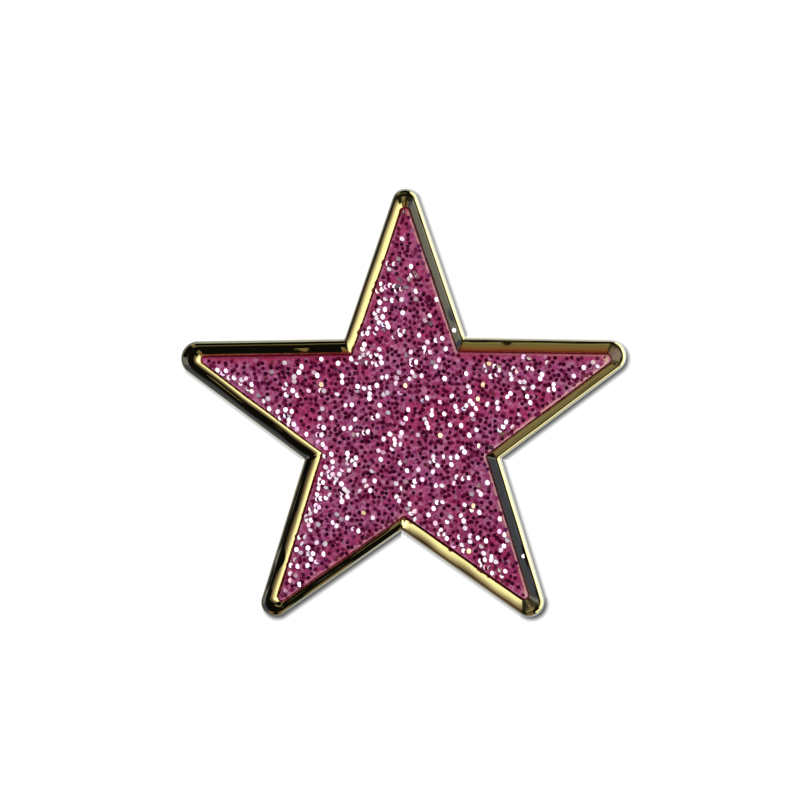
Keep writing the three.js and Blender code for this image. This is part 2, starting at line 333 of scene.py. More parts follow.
def pale_floor():
    """A plain white surface that glows, lit a little from its front, and clear from behind. Metal shows
    it as a painted reflection: white near the star, cool and dim further out, brighter towards the
    window.
    """
    paint = Paint("pale floor")
    mirrored = paint.node("ShaderNodeLightPath", output="Is Glossy Ray")
    away = paint.node("ShaderNodeVectorMath", {"operation": "LENGTH"}, {0: paint.place()}, "Value")
    cool = paint.ramp(away, 21 * MM, 26 * MM)
    way = paint.node("ShaderNodeVectorMath", {"operation": "NORMALIZE"}, {0: paint.place()})
    to_window = {0: way, 1: (math.cos(WINDOW_TURN), 0, math.sin(WINDOW_TURN))}
    side = paint.node("ShaderNodeVectorMath", {"operation": "DOT_PRODUCT"}, to_window, "Value")
    far = 0.06 + 0.22 * paint.ramp(side, -0.95, -0.7)
    far = far + 0.6 * paint.ramp(side, -0.4, 0.3) + 0.9 * paint.ramp(side, 0.5, 0.9)
    shown = paint.mix(cool, (1.0, 1.0, 1.0), (0.52, 0.63, 1.0))
    strength = 1 + mirrored * (0.85 * (1 - cool) + far * cool - 1)
    light = paint.node(
        "ShaderNodeEmission",
        {},
        {"Color": paint.mix(mirrored, (1.3, 1.3, 1.3), shown), "Strength": strength},
    )
    white = paint.node("ShaderNodeBsdfDiffuse", {}, {"Color": (0.5, 0.5, 0.5, 1)})
    front = paint.node("ShaderNodeMixShader", {}, {0: 0.1, 1: light, 2: white})
    behind = paint.node("ShaderNodeNewGeometry", output="Backfacing")
    clear = paint.node("ShaderNodeBsdfTransparent")
    return paint.finish(paint.node("ShaderNodeMixShader", {}, {0: behind, 1: front, 2: clear}))


def contact_shade():
    """Black, as dense as shade says, and clear from behind."""
    paint = Paint("contact shade")
    behind = paint.node("ShaderNodeNewGeometry", output="Backfacing")
    dark = paint.node("ShaderNodeEmission", {}, {"Color": (0.0, 0.0, 0.0, 1)})
    clear = paint.node("ShaderNodeBsdfTransparent")
    cover = paint.attribute("shade") * (1 - behind)
    return paint.finish(paint.node("ShaderNodeMixShader", {}, {0: cover, 1: clear, 2: dark}))


# ---- Mesh helpers ----


def placed(name, data):
    """An object made from its data and put in the scene."""
    made = bpy.data.objects.new(name, data)
    bpy.context.scene.collection.objects.link(made)
    return made


def mesh_object(name, points, faces, material, smooth_angle=35):
    """A mesh object from points in millimetres."""
    mesh = bpy.data.meshes.new(name)
    mesh.from_pydata((np.asarray(points, float) * MM).tolist(), [], faces)
    tidy = bmesh.new()
    tidy.from_mesh(mesh)
    bmesh.ops.remove_doubles(tidy, verts=tidy.verts, dist=1e-7)
    bmesh.ops.recalc_face_normals(tidy, faces=tidy.faces)
    tidy.to_mesh(mesh)
    tidy.free()
    mesh.shade_smooth()
    mesh.set_sharp_from_angle(angle=math.radians(smooth_angle))
    mesh.materials.append(material)
    return placed(name, mesh)


def backdrop(name, points, faces, material):
    """An open surface for the stage, from points in millimetres, whose faces keep their fronts."""
    mesh = bpy.data.meshes.new(name)
    mesh.from_pydata((np.asarray(points, float) * MM).tolist(), [], faces)
    mesh.materials.append(material)
    return placed(name, mesh)


def attribute(piece, name, values):
    """A number or a colour at each point of a piece's mesh."""
    values = np.asarray(values, np.float32)
    if values.ndim == 1:
        made = piece.data.attributes.new(name, "FLOAT", "POINT")
        made.data.foreach_set("value", values)
    else:
        made = piece.data.attributes.new(name, "FLOAT_COLOR", "POINT")
        colours = np.ones((len(values), 4), np.float32)
        colours[:, :3] = values
        made.data.foreach_set("color", colours.ravel())


def apply_modifier(piece, kind, **settings):
    """Adds a modifier and makes its result the piece's mesh."""
    modifier = piece.modifiers.new(kind.lower(), kind)
    for key, value in settings.items():
        setattr(modifier, key, value)
    bpy.context.view_layer.update()
    evaluated = piece.evaluated_get(bpy.context.evaluated_depsgraph_get())
    piece.modifiers.clear()
    old = piece.data
    piece.data = bpy.data.meshes.new_from_object(evaluated)
    bpy.data.meshes.remove(old)


def cut(piece, cutter):
    """Takes the cutter's shape out of a piece, and deletes the cutter."""
    apply_modifier(piece, "BOOLEAN", object=cutter, operation="DIFFERENCE", solver="EXACT")
    bpy.data.objects.remove(cutter)


def soften(piece, width):
    """Rounds a piece's sharp edges over."""
    apply_modifier(
        piece,
        "BEVEL",
        width=width * MM,
        segments=2,
        limit_method="ANGLE",
        angle_limit=math.radians(40),
        use_clamp_overlap=True,
    )
    piece.data.shade_smooth()
    piece.data.set_sharp_from_angle(angle=math.radians(35))


def block(low, high):
    """A plain box used to cut with."""
    across, deep, up = zip(low, high)
    corners = [(x, y, z) for x in across for y in deep for z in up]
    faces = [(0, 1, 3, 2), (4, 6, 7, 5), (0, 4, 5, 1), (2, 3, 7, 6), (0, 2, 6, 4), (1, 5, 7, 3)]
    return mesh_object("cutter", corners, faces, None)


def loft(rows, closed=False):
    """Faces over rows of as many points each, every row a closed loop."""
    count = len(rows[0])
    faces = []
    for row in range(len(rows) - (0 if closed else 1)):
        a, b = row * count, (row + 1) % len(rows) * count
        for i in range(count):
            j = (i + 1) % count
            faces.append((a + i, a + j, b + j, b + i))
    return faces


def capped_loft(rows):
    """A loft with a flat face over its first row and its last."""
    count = len(rows[0])
    last = count * (len(rows) - 1)
    return [*loft(rows), tuple(range(count))[::-1], tuple(range(last, last + count))]


def rounded(corners, radii, steps=6):
    """A line through corners, each turned into an arc of its radius."""
    corners = [np.array(c, float) for c in corners]
    line = [corners[0]]
    for before, corner, after, radius in zip(corners, corners[1:], corners[2:], radii):
        back = (before - corner) / np.linalg.norm(before - corner)
        on = (after - corner) / np.linalg.norm(after - corner)
        half = math.acos(np.clip(back @ on, -1, 1)) / 2
        middle = corner + (back + on) / np.linalg.norm(back + on) * radius / math.sin(half)
        start = corner + back * radius / math.tan(half)
        end = corner + on * radius / math.tan(half)
        first, last = start - middle, end - middle
        turn = math.atan2(first[0] * last[1] - first[1] * last[0], first @ last)
        for i in range(steps + 1):
            cos, sin = math.cos(turn * i / steps), math.sin(turn * i / steps)
            arm = np.array([first[0] * cos - first[1] * sin, first[0] * sin + first[1] * cos])
            line.append(middle + arm)
    line.append(corners[-1])
    return np.array(line)


def spaced(line, step):
    """The same line with points no further apart than step."""
    out = [line[0]]
    for a, b in zip(line, line[1:]):
        pieces = max(1, math.ceil(np.linalg.norm(b - a) / step))
        out.extend(a + (b - a) * i / pieces for i in range(1, pieces + 1))
    return np.array(out)


def sheet_outline(line, thick):
    """The outline of sheet metal bent along a line, with half-round edges."""
    along = np.gradient(line, axis=0)
    along /= np.linalg.norm(along, axis=1)[:, None]
    side = np.stack([-along[:, 1], along[:, 0]], 1) * thick / 2
    ends = []
    for point, direction, across in ((line[-1], along[-1], side[-1]), (line[0], -along[0], -side[0])):
        for a in (45, 90, 135):
            turn = math.radians(a)
            ends.append(point + across * math.cos(turn) + direction * thick / 4 * math.sin(turn))
    return np.array([*(line + side), *ends[:3], *(line - side)[::-1], *ends[3:]])


def turned(name, profile, sides, material, closed=False):
    """A piece turned round the post's axis from (radius, y) points."""
    angles = np.linspace(0, 2 * math.pi, sides, endpoint=False)
    rows = [
        np.stack([r * np.cos(angles), np.full(sides, y), r * np.sin(angles)], 1) for r, y in profile
    ]
    return mesh_object(name, np.concatenate(rows), loft(rows, closed), material)


# ---- The star's outline ----

FOOT_TIP_ROUND = 0.13
TIP_STEPS = 18
EDGE_STEPS = 22
VALLEY_STEPS = 6


def edge_turn(i):
    """The way out from an edge, as an angle from +X towards +Z."""
    side = 1 if i % 2 == 0 else -1
    return math.pi / 2 + (i + 1) // 2 * 2 * STEP_ANGLE + side * (math.pi / 2 - TIP_HALF)


def uneven(pair, inset):
    """A fault at an inset, from its size at the outline and at the rim's foot. It fades further in."""
    share = np.clip(inset / RIM_WIDTH, 0, 1)
    return (pair[0] + (pair[1] - pair[0]) * share) * np.clip((3.2 - inset) / 2.2, 0, 1)


def corner(i, inset, radius):
    """Where edge i meets the edge before it, or the middle of the arc that rounds them there.

    The radius is negative in a valley. The outline is moved in by inset.
    """
    ways, reaches = [], []
    for edge in (i - 1, i):
        ways.append((math.cos(edge_turn(edge)), math.sin(edge_turn(edge))))
        reaches.append(EDGE_DISTANCE - inset + uneven(EDGES[edge][1:], inset) - radius)
    return np.linalg.solve(np.array(ways), np.array(reaches))


def star_ring(inset, tip_round, valley_round):
    """Points round the star, moved in from its outer edge, and the way out at each point."""
    arcs = []
    for i in range(2 * ARMS):
        radius, steps = -valley_round, VALLEY_STEPS
        if i % 2 == 0:
            radius, steps = tip_round + uneven(BLUNTER[i // 2], inset), TIP_STEPS
        a = np.linspace(edge_turn(i - 1), edge_turn(i), steps + 1)
        way = np.stack([np.cos(a), np.sin(a)], 1)
        arcs.append((corner(i, inset, radius) + radius * way, way))
    points, ways = [], []
    for (arc, way), (next_arc, _) in zip(arcs, arcs[1:] + arcs[:1]):
        share = np.linspace(0, 1, EDGE_STEPS + 1)[1:-1, None]
        points += [arc, arc[-1] + share * (next_arc[0] - arc[-1])]
        ways += [way, np.repeat(way[-1:], EDGE_STEPS - 1, 0)]
    return np.concatenate(points), np.concatenate(ways)


def along_ring(values):
    """A value for each edge, spread over a ring's points and blended round its corners."""
    spread = []
    for i in range(2 * ARMS):
        steps = TIP_STEPS if i % 2 == 0 else VALLEY_STEPS
        spread.append(np.linspace(values[i - 1], values[i], steps + 1))
        spread.append(np.full(EDGE_STEPS - 1, values[i]))
    return np.concatenate(spread)


def inside_tips():
    """UNPOLISHED for each of a ring's points, fading out at the ends of each tip's arc."""
    spread = []
    for i in range(2 * ARMS):
        steps, share = (TIP_STEPS, UNPOLISHED[i // 2]) if i % 2 == 0 else (VALLEY_STEPS, 0)
        spread += [share * np.sin(np.linspace(0, math.pi, steps + 1)), np.zeros(EDGE_STEPS - 1)]
    return np.concatenate(spread)


def tray_ring(inset):
    return star_ring(inset, max(TIP_ROUND - 0.9 * inset, 0.02), 0.1 + 0.1 * max(inset, 0))[0]


def in_space(flat, height):
    """Points of a flat outline, lifted to a height in front of the back face."""
    return np.stack([flat[:, 0], np.full(len(flat), -height), flat[:, 1]], 1)


def gap_to_rim(flat):
    """How far points are inside the foot of the rim, and the way to the nearest part of it."""
    corners = np.array([corner(i, RIM_WIDTH, 0) for i in range(2 * ARMS)])
    gap = np.full(len(flat), 1e9)
    way = np.zeros((len(flat), 2))
    inside = np.zeros(len(flat), bool)
    for a, b in zip(corners, np.roll(corners, -1, 0)):
        t = np.clip((flat - a) @ (b - a) / ((b - a) @ (b - a)), 0, 1)[:, None]
        to = a + t * (b - a) - flat
        far = np.linalg.norm(to, axis=1)
        near = far < gap
        gap[near] = far[near]
        way[near] = to[near] / np.maximum(far[near, None], 1e-9)
        level = (a[1] > flat[:, 1]) != (b[1] > flat[:, 1])
        inside ^= level & (flat[:, 0] < a[0] + (flat[:, 1] - a[1]) * (b[0] - a[0]) / (b[1] - a[1]))
    gap = np.where(inside, gap, -gap)
    for arm in range(ARMS):
        radius = FOOT_TIP_ROUND + BLUNTER[arm][1]
        out = flat - corner(2 * arm, RIM_WIDTH, radius)
        reach = np.linalg.norm(out, axis=1)
        turn = math.pi / 2 + arm * 2 * STEP_ANGLE
        capped = out @ np.array([math.cos(turn), math.sin(turn)]) > reach * math.sin(TIP_HALF)
        gap[capped] = radius - reach[capped]
        way[capped] = out[capped] / np.maximum(reach[capped, None], 1e-9)
    return gap, way


# ---- Star tray ----


def rim_profile(crest_inset, lean_from, lean_to, fullness):
    """Insets, heights and a share of roughness and painted foot shade, up the side, over the rim and
    down into the pocket.

    Inside the crest the surface leans by lean_from degrees, growing to lean_to at the rim's foot.
    """
    rows = [
        (BACK_ROUND * (1 - math.sin(a)), BACK_ROUND * (1 - math.cos(a)), 0)
        for a in np.linspace(0, math.pi / 2, 5)
    ]
    wall = np.linspace(BACK_ROUND, WALL_TOP, 6)[1:-1]
    rows += [(WALL_LEAN * h / WALL_TOP, h, 0) for h in wall]
    for a in np.linspace(0, math.pi / 2, 15):
        inset = crest_inset - (crest_inset - WALL_LEAN) * math.cos(a)
        rows.append((inset, WALL_TOP + (CREST - WALL_TOP) * math.sin(a), 0))
    shares = np.linspace(0, 1, 21)[1:]
    step = (RIM_WIDTH - FOOT_WIDTH - crest_inset) / len(shares)
    height = CREST
    for i, share in enumerate(shares):
        lean = lean_from + (lean_to - lean_from) * (share - 0.5 / len(shares)) ** fullness
        height -= step * math.tan(math.radians(lean))
        rows.append((crest_inset + step * (i + 1), height, max(0, share - 0.9) * 5))
    rows += [(RIM_WIDTH - 0.4 * FOOT_WIDTH, height - 0.04, 1), (RIM_WIDTH, height - 0.12, 1)]
    rows.append((RIM_WIDTH, POCKET_FLOOR, 1))
    return rows


# A section for each way that an edge is polished.
RIM_SECTIONS = {
    "keen": rim_profile(0.20, 7, 46, 0.9),
    "steep": rim_profile(0.20, 17, 43, 0.7),
    "broad": rim_profile(0.31, 8, 46, 0.9),
    "eased": rim_profile(0.24, 9, 56, 1.9),
    "flat": rim_profile(0.30, 3, 56, 1.8),
    "hollow": rim_profile(0.30, 1, 66, 1.5),
    "deep": rim_profile(0.30, 1, 66, 2.8),
}


def star_tray(material):
    """The struck tray: flat back, upright side, rim, slope to the resin, pocket."""
    loops = np.zeros((len(RIM_SECTIONS["keen"]), len(tray_ring(0)), 3))
    foot_rough_and_shade, satin = [], []
    open_foot = along_ring([float(edge[0] == "steep") for edge in EDGES])
    for style, section in RIM_SECTIONS.items():
        share = along_ring([float(edge[0] == style) for edge in EDGES])[:, None]
        for loop, (inset, height, _) in zip(loops, section):
            loop += share * in_space(tray_ring(inset), height)
    # How rough each row is and how much painted dark red shade it has in the rim's foot; the steep edges
    # get less.
    for inset, _, rough_and_shade in RIM_SECTIONS["keen"]:
        foot_rough_and_shade.append(rough_and_shade * (1 - 0.8 * open_foot))
        satin.append(inside_tips() * np.clip((inset - 0.22) / 0.12, 0, 1))
    tray = mesh_object("star_tray", np.concatenate(loops), capped_loft(loops), material, 50)
    attribute(tray, "foot", np.concatenate(foot_rough_and_shade))
    attribute(tray, "satin", np.concatenate(satin))
    return tray


# ---- Resin and glitter ----


def resin_height(gap):
    return RESIN_HEIGHT + MENISCUS_RISE * np.exp(-gap / MENISCUS_REACH)


def resin(material):
    """The pool of resin, which climbs the rim a little all round."""
    edge = RIM_WIDTH + 0.005  # a hair inside the rim's foot
    tip_round, valley_round = 0.12, 0.18
    depths = np.concatenate([np.linspace(0, 0.5, 16) ** 1.3, np.linspace(0.55, 3.9, 22)])
    loops, painted_rim_light, lee = [], [], []
    for depth in depths:
        shrink = 1 - depth / 4
        ring, way = star_ring(edge + depth, tip_round * shrink, valley_round * shrink)
        loops.append(in_space(ring, 0))
        loops[-1][:, 1] = -resin_height(np.full(len(ring), depth))
        # Painted highlight: a pale strip just inside the rims that face the window. Painted shade:
        # crimson under the upper rims.
        strip = math.exp(-(((depth - 0.07) / 0.05) ** 2))
        painted_rim_light.append(strip * np.clip(0.8 * way[:, 0] + 0.04 * ring[:, 0], 0, 1))
        lee.append(math.exp(-((depth / 0.42) ** 2)) * np.clip(way[:, 1], 0, 1))
    base = in_space(star_ring(edge, tip_round, valley_round)[0], POCKET_FLOOR)
    loops.insert(0, base)
    painted_rim_light.insert(0, np.zeros(len(base)))
    lee.insert(0, np.zeros(len(base)))
    pool = mesh_object("pink_resin", np.concatenate(loops), capped_loft(loops), material, 60)
    attribute(pool, "rim", np.concatenate(painted_rim_light))
    attribute(pool, "lee", np.concatenate(lee))
    return pool


def window_side(towards):
    """1 beside a rim that faces the window, -1 beside one that faces away from it."""
    return -(towards @ np.array([math.cos(LEAN_TURN), math.sin(LEAN_TURN)]))


def clumping(x, z):
    """Above 0 where flakes gather, and below it where they are sparse."""
    return noise.noise(Vector((1.2 * x, 1.2 * z, 4.0)))


def scattered(spacing, margin, tries):
    """Places inside the rim, about spacing apart, and fewer in the lee of the rim."""
    taken = {}
    places = []
    reach = STAR_WIDTH / 2
    candidates = [(rng.uniform(-reach, reach), rng.uniform(-reach, reach)) for _ in range(tries)]
    candidates = np.array(candidates)
    for (x, z), room, towards in zip(candidates, *gap_to_rim(candidates)):
        lee = max(0, -window_side(towards)) * math.exp(-((max(room, 0) / 0.35) ** 2))
        clear = margin + 0.065 * abs(towards[1]) + 0.035 * towards[1]  # more beside the upper rims
        if room < clear or rng.random() < 0.8 * lee:
            continue
        column, row = math.floor(x / spacing), math.floor(z / spacing)
        apart = spacing * (0.84 if clumping(x, z) > 0.12 else 1)
        near = [
            place
            for i in (-1, 0, 1)
            for j in (-1, 0, 1)
            for place in taken.get((column + i, row + j), [])
        ]
        if all(math.hypot(x - p[0], z - p[1]) >= apart for p in near):
            taken.setdefault((column, row), []).append((x, z))
            places.append((x, z))
    return np.array(places)


FLAKE_POINTS = 12


def flake_mesh(name, centres, normals, spins, sizes, material):
    """Thin hexagonal plates, one for each centre."""
    points, faces = [], []
    for centre, normal, spin, across in zip(centres, normals, spins, sizes):
        side = np.cross(normal, (0.0, 0.0, 1.0))
        side /= np.linalg.norm(side)
        up = np.cross(side, normal)
        radius = across / math.sqrt(3)
        start = len(points)
        for level in (0.5, -0.5):
            for i in range(6):
                a = spin + i * math.pi / 3
                out = math.cos(a) * side + math.sin(a) * up
                points.append(centre + radius * out + normal * level * FLAKE_THICK)
        faces.append(tuple(range(start, start + 6)))
        faces.append(tuple(range(start + 11, start + 5, -1)))
        for i in range(6):
            j = (i + 1) % 6
            faces.append((start + i, start + 6 + i, start + 6 + j, start + j))
    return mesh_object(name, points, faces, material, 20)


def lean_share(x, z, room, towards):
    """The share of flakes that lean, which is high along the rims that face the window."""
    facing = window_side(towards)
    clump = max(0, 1 + 2.1 * clumping(x, z))
    share = 0.275 * clump
    if facing > 0:
        return share + 0.62 * facing * clump * math.exp(-((room / 0.85) ** 2))
    return share * (1 + 0.95 * facing * math.exp(-((room / 0.6) ** 2)))


def flake_tint():
    """Mostly pale film with some pink, and a few violet and orange flakes."""
    hue = rng.random()
    if hue < 0.02:
        return (0.98, 0.66, 0.40)
    if hue < 0.06:
        return (0.78, 0.70, 0.98)
    if hue < 0.30:
        return (0.97, rng.uniform(0.50, 0.72), rng.uniform(0.70, 0.86))
    return (0.97, rng.uniform(0.72, 0.84), rng.uniform(0.88, 0.95))


def near_flake(x, z, room, towards):
    """A flake near the surface: its lean in degrees, turn, scale, film colour and veil."""
    if rng.random() < lean_share(x, z, room, towards):
        turn = LEAN_TURN + max(-1.6, min(1.6, rng.gauss(0, 1))) * LEAN_SPREAD
        return rng.uniform(26, 44), turn, 1.28, flake_tint(), 0.06
    tint = (0.80, rng.uniform(0.10, 0.25), rng.uniform(0.30, 0.45))
    return abs(rng.gauss(0, 4)), rng.uniform(0, 2 * math.pi), 0.97, tint, rng.uniform(0.10, 0.24)


def deep_flake(*_):
    """The same for a flake deep in the resin, which lies nearly flat wherever it is."""
    tint = (0.80, 0.20, 0.40)
    return abs(rng.gauss(0, 6)), rng.uniform(0, 2 * math.pi), 1.05, tint, rng.uniform(0.80, 1.0)


def near_cover():
    """The colour of the little resin that lies over a flake near the surface."""
    crimson = rng.uniform(0.3, 1.0)
    return (0.46 * crimson, 0.003, 0.03 + 0.08 * crimson)


def deep_cover():
    """Flakes seen through a depth of resin: crimson, magenta or pale mauve."""
    kind = rng.random()
    shade = rng.uniform(0.75, 1.15)
    if kind < 0.46:
        return np.array([0.17, 0.007, 0.05]) * shade
    if kind < 0.84:
        return np.array([0.40, 0.045, 0.17]) * shade
    return np.array([0.52, 0.19, 0.33]) * shade


def flake_looks(layer, tints, covers, veils):
    """What glitter() reads: each flake's film colour, the resin's colour over it, and how much."""
    for name, values in (("tint", tints), ("veil_tint", covers), ("veil", veils)):
        attribute(layer, name, np.repeat(values, FLAKE_POINTS, 0))


def glitter_layer(name, spacing, tries, lift, flake, cover, material):
    """A layer of flakes, lift above the resin's surface. They lean with it where it climbs the rim."""
    places = scattered(spacing, 0.085, tries)
    flakes = []
    for (x, z), room, towards in zip(places, *gap_to_rim(places)):
        lean, turn, scale, tint, veil = flake(x, z, room, towards)
        climb = 0.9 * math.exp(-room / MENISCUS_REACH) + 0.12 * math.exp(-room / 0.4)
        slope = math.tan(math.radians(lean)) * np.array([math.cos(turn), math.sin(turn)])
        slope -= towards * climb
        slope *= min(1, STEEPEST_LEAN / max(np.linalg.norm(slope), 1e-9))
        normal = np.array([slope[0], -1.0, slope[1]])
        normal /= np.linalg.norm(normal)
        across = FLAKE_ACROSS * rng.uniform(0.94, 1.06) * scale
        height = float(resin_height(room)) + lift + 0.4 * across * math.hypot(normal[0], normal[2])
        centre = np.array([x, -height, z])
        flakes.append((centre, normal, rng.uniform(0, math.pi / 3), across, tint, cover(), veil))
    centres, normals, spins, sizes, tints, covers, veils = zip(*flakes)
    layer = flake_mesh(name, centres, normals, spins, sizes, material)
    flake_looks(layer, tints, covers, veils)
    return layer


def stray_flakes(material):
    """Two flakes that landed on the rim and lean towards the window."""
    spots = ((2.68, 5.22), (6.50, -7.25))
    centres = [np.array([x, -CREST, z]) for x, z in spots]
    normal = np.array([0.4275, -1.0, 0.1395])
    normals = [normal / np.linalg.norm(normal)] * len(spots)
    layer = flake_mesh("glitter_stray", centres, normals, (0.2, 0.7), (0.24, 0.2), material)
    count = len(spots)
    flake_looks(layer, np.full((count, 3), 0.95), np.full((count, 3), 0.5), np.full(count, 0.1))
    return layer


# ---- Post and solder ----


def pin_post(material):
    """A pad, a shank with a waist that the clutch snaps into, and a point."""
    low, top = POST_LOW[1], POST_HIGH[1]
    pad, pad_top = POST_HIGH[0], 0.35
    shank, waist = 0.575, 0.43
    waist_low, waist_high = 6.35, 6.75
    shoulder = 0.15
    profile = [
        (0, low), (pad, low), (pad, pad_top), (shank, pad_top),
        (shank, waist_low - shoulder), (waist, waist_low),
        (waist, waist_high), (shank, waist_high + shoulder),
        (shank, top - 1.05), (0.5 * shank, top - 0.37), (0.04, top), (0, top),
    ]
    line = rounded(profile, [0.03, 0.12, 0.2, 0.05, 0.08, 0.08, 0.05, 0.4, 0.6, 0.035])
    return turned("turned_post", spaced(line, 0.25), 96, material)


def solder_ring(material):
    """The fillet round the post's pad, a little uneven at its outer edge."""
    outer = SOLDER_HIGH[0]
    inner = POST_HIGH[0] + 0.005
    low, high = SOLDER_LOW[1], SOLDER_HIGH[1]
    line = rounded([(outer, low + 0.01), (inner + 0.12, low + 0.05), (inner, high)], [0.5], 12)
    profile = [(inner, low), (outer, low), *line]
    ring = turned("solder_fillet", profile, 120, material, closed=True)
    for vertex in ring.data.vertices:
        angle = math.atan2(vertex.co.z, vertex.co.x)
        radius = math.hypot(vertex.co.x, vertex.co.z) / MM
        wander = 0.5 + 0.5 * math.sin(3 * angle + 1) * math.cos(2 * angle)
        if radius > inner + 0.1:
            shrink = 1 - 0.05 * wander * (radius - inner) / (outer - inner)
            vertex.co.x *= shrink
            vertex.co.z *= shrink
    return ring


# ---- Butterfly clutch ----

SHEET = 0.3
HEM_TOP = 1.02
DISC_FRONT = DISC_HIGH[1] - HEM_TOP  # the disc's front face, without its dimples
DIMPLES = 4
DIMPLE_CIRCLE = 3.6
DIMPLE_R = 0.6


def clutch_disc(material):
    """A stamped disc: a funnelled hole, dimples that bite the cloth, and a rim rolled over."""
    hole, hole_top, funnel_end = 0.67, 0.57, 2.0
    rim, hem_end = DISC_HIGH[0] - SHEET / 2, 4.72
    flat, hem = SHEET / 2, HEM_TOP - SHEET / 2
    profile = [(hole, hole_top), (funnel_end, flat), (rim, flat), (rim, hem), (hem_end, hem)]
    line = rounded(profile, [0.5, 0.355, 0.355], 10)
    outline = sheet_outline(spaced(line, 0.13), SHEET)
    outline[:, 1] += DISC_FRONT
    disc = turned("clutch_disc_stamped", outline, 168, material, closed=True)
    depth = DISC_FRONT - DISC_LOW[1]
    for vertex in disc.data.vertices:
        if vertex.co.y / MM > DISC_FRONT + SHEET + 0.01:
            continue
        for i in range(DIMPLES):
            angle = (i + 0.5) * 2 * math.pi / DIMPLES
            away = math.hypot(
                vertex.co.x / MM - DIMPLE_CIRCLE * math.cos(angle),
                vertex.co.z / MM - DIMPLE_CIRCLE * math.sin(angle),
            )
            if away < DIMPLE_R:
                vertex.co.y -= depth * math.cos(0.5 * math.pi * away / DIMPLE_R) ** 1.5 * MM
    return disc


def clutch_cap(material):
    """A pressed hat: flange, wall, and a collared hole for the point, with two windows for the wings."""
    wall = 3.05 - SHEET / 2
    flange, crown = 0.51, 2.75
    collar_end, hole, hole_top = 1.5, 0.69, 3.09
    edge = CAP_HIGH[0] - 0.01
    profile = [(edge, flange), (wall, flange), (wall, crown), (collar_end, crown), (hole, hole_top)]
    outline = sheet_outline(spaced(rounded(profile, [0.35, 0.4, 0.3], 8), 0.2), SHEET)
    outline[:, 1] += DISC_FRONT
    cap = turned("clutch_cap_pressed", outline, 144, material, closed=True)
    window_low, window_high = 1.35 + DISC_FRONT, 2.45 + DISC_FRONT
    window_half = 1.7
    beyond = 6
    cut(cap, block((-beyond, window_low, -window_half), (beyond, window_high, window_half)))
    soften(cap, 0.05)
    return cap


def spline(knots, count):
    """A smooth line through knots."""
    knots = np.array([2 * np.array(knots[0]) - knots[1], *knots, 2 * np.array(knots[-1]) - knots[-2]])
    line = []
    for t in np.linspace(0, len(knots) - 3 - 1e-6, count):
        i = int(t)
        f = t - i
        a, b, c, d = knots[i : i + 4]
        bend = (2 * a - 5 * b + 4 * c - d) * f**2 + (3 * b - a - 3 * c + d) * f**3
        line.append(0.5 * (2 * b + (c - a) * f + bend))
    return np.array(line)


def wing_half_width(x, y):
    """Half the wing's width at a point of its middle line."""
    jaw, jaw_end, shoulder = 1.3, 2.35, 0.15
    waist, flare_from, flare_to = 1.45, 2.35, 3.7
    ear = (WING_HIGH[2] - WING_LOW[2]) / 2
    ear_top, ear_round = 5.6, 1.7
    if x < jaw_end:
        return jaw
    if y < flare_from:
        return waist - (waist - jaw) * max(0, 1 - (x - jaw_end) / shoulder)
    if y < flare_to:
        t = (y - flare_from) / (flare_to - flare_from)
        return waist + (ear - waist) * t * t * (3 - 2 * t)
    over = max(0, y - (ear_top - ear_round)) / ear_round
    return ear - ear_round + ear_round * math.sqrt(max(0, 1 - over**2))


def clutch_wing(name, side, material):
    """A notched jaw inside the cap and a finger ear outside it. side is 1 right of the post, -1 left."""
    half_thick, notch = 0.13, 0.62
    knots = [(0.3, 1.77), (1.85, 1.53), (2.9, 1.93), (3.55, 2.6), (4.05, 3.8), (4.5, 4.75), (5.15, 5.35)]
    line = spline(knots, 90)
    along = np.gradient(line, axis=0)
    along /= np.linalg.norm(along, axis=1)[:, None]
    lift = np.stack([-along[:, 1], along[:, 0]], 1) * half_thick
    columns = 24
    loops = []
    for (x, y), (lx, ly) in zip(line, lift):
        half = wing_half_width(x, y)
        z = np.linspace(-half, half, columns)
        upper = np.stack([np.full(columns, x + lx), np.full(columns, y + ly), z], 1)
        lower = np.stack([np.full(columns, x - lx), np.full(columns, y - ly), z], 1)[::-1]
        loops.append(np.concatenate([upper, lower]))
    count = 2 * columns
    faces = loft(loops)
    for start in (0, count * (len(loops) - 1)):
        faces += [
            (start + i, start + i + 1, start + count - 2 - i, start + count - 1 - i)
            for i in range(columns - 1)
        ]
    points = np.concatenate(loops)
    points[:, 1] += DISC_FRONT
    points[:, 0] *= side
    wing = mesh_object(name, points, faces, material)
    beyond = 9
    cut(wing, turned("cutter", [(0, 0), (notch, 0), (notch, beyond), (0, beyond)], 64, None))
    soften(wing, 0.045)
    return wing


# ---- Camera, light and floor ----

VIEW_WIDTH = 44.14 * MM  # across the picture, at the rim's height
VIEW_CENTRE = (-0.30 * MM, 1.37 * MM)
LENS = 135


def camera():
    """A long lens looking straight at the star's face."""
    data = bpy.data.cameras.new("camera")
    data.lens = LENS
    data.clip_start = 0.01
    data.clip_end = 10
    made = placed("camera", data)
    distance = LENS / data.sensor_width * VIEW_WIDTH
    made.location = (VIEW_CENTRE[0], TRAY_LOW[1] * MM - distance, VIEW_CENTRE[1])
    made.rotation_euler = (math.pi / 2, 0, 0)
    bpy.context.scene.camera = made


